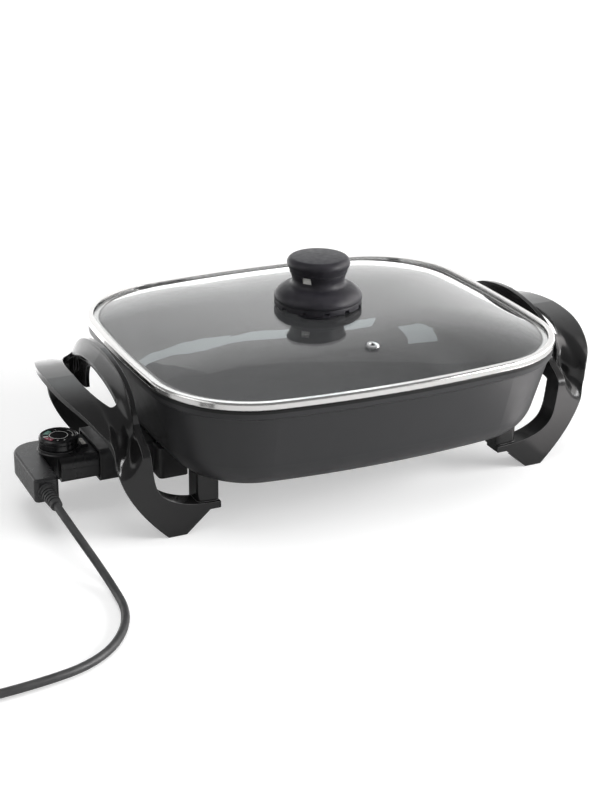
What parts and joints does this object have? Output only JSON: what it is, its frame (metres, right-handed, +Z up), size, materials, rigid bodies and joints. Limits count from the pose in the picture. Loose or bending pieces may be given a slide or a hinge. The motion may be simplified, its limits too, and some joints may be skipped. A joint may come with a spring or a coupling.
{
  "type": "electric frying pan",
  "caption": "Rectangular electric frying pan with a cast pan, moulded handle legs, a domed glass lid with a knob, and a plug-in thermostat probe with a dial and cord.",
  "frame": {"origin": "middle of the footprint of the pan, handles and probe, on the surface that the feet stand on", "axes": "+Z up, +X along the pan away from the probe, -Y towards the viewer's front side"},
  "size_m": [0.9065, 0.4765, 0.2042],
  "materials": {
    "pan_coating": "cast aluminium under a satin charcoal non-stick coating",
    "handle_plastic": "glossy black phenolic moulding",
    "housing_plastic": "satin black heat-proof moulding",
    "probe_plastic": "fine-grained satin black moulding",
    "dial_plastic": "satin black moulding with a printed scale",
    "knob_plastic": "satin black phenolic moulding",
    "glass": "clear tempered glass",
    "rim_steel": "rolled and polished stainless steel",
    "steel": "zinc plated steel",
    "eyelet_metal": "bright rolled eyelet",
    "element_steel": "dull steel sheath",
    "brass": "plain turned brass",
    "plated_pin": "nickel plated",
    "ceramic": "off-white ceramic, as hard matt plastic",
    "sensor_metal": "drawn steel tube",
    "silicone": "grey-black silicone",
    "pale_plastic": "pale plain moulding",
    "lens": "pale translucent plastic",
    "lamp_glass": "small neon lamp",
    "cord_rubber": "black flexible jacket",
    "plug_plastic": "black moulded plug"
  },
  "bodies": {
    "cooker": {"pan_body": "pan_coating", "heating_element": "element_steel", "terminal_pins": "plated_pin", "pin_insulators": "ceramic", "terminal_housing": "housing_plastic", "housing_screws": "steel", "right_handle": "handle_plastic", "left_handle": "handle_plastic", "handle_screws": "steel"},
    "lid": {"lid_rim": "rim_steel", "lid_glass": "glass", "vent_eyelet": "eyelet_metal", "knob_gasket": "silicone", "knob_base": "knob_plastic", "knob_inset": "pale_plastic", "knob_cap": "knob_plastic", "knob_insert": "brass", "knob_lower_boss": "knob_plastic", "knob_washer": "steel", "knob_screw": "steel"},
    "probe": {"probe_body_upper": "probe_plastic", "probe_body_lower": "probe_plastic", "probe_screws": "steel", "sensor_rod": "sensor_metal", "contact_sleeves": "brass", "thermostat": "brass", "pilot_lens": "lens", "neon_lamp": "lamp_glass", "strain_relief": "cord_rubber", "cord": "cord_rubber", "cord_coil": "cord_rubber", "cord_tail": "cord_rubber", "coil_tie": "silicone", "plug_body": "plug_plastic", "plug_pins": "plated_pin", "earth_contacts": "plated_pin"},
    "dial": {"dial": "dial_plastic", "dial_shaft": "steel"}
  },
  "joints": [
    {"name": "lid_lift", "type": "slide", "parent": "cooker", "child": "lid", "axis": [0, 0, 1], "range_m": [0, 0.15]},
    {"name": "probe_pull", "type": "slide", "parent": "cooker", "child": "probe", "axis": [-1, 0, 0], "range_m": [0, 0.09]},
    {"name": "dial_turn", "type": "hinge", "parent": "probe", "child": "dial", "pos_m": [-0.241, 0, 0.06], "axis": [0, 0, 1], "range_deg": [0, 270]}
  ]
}
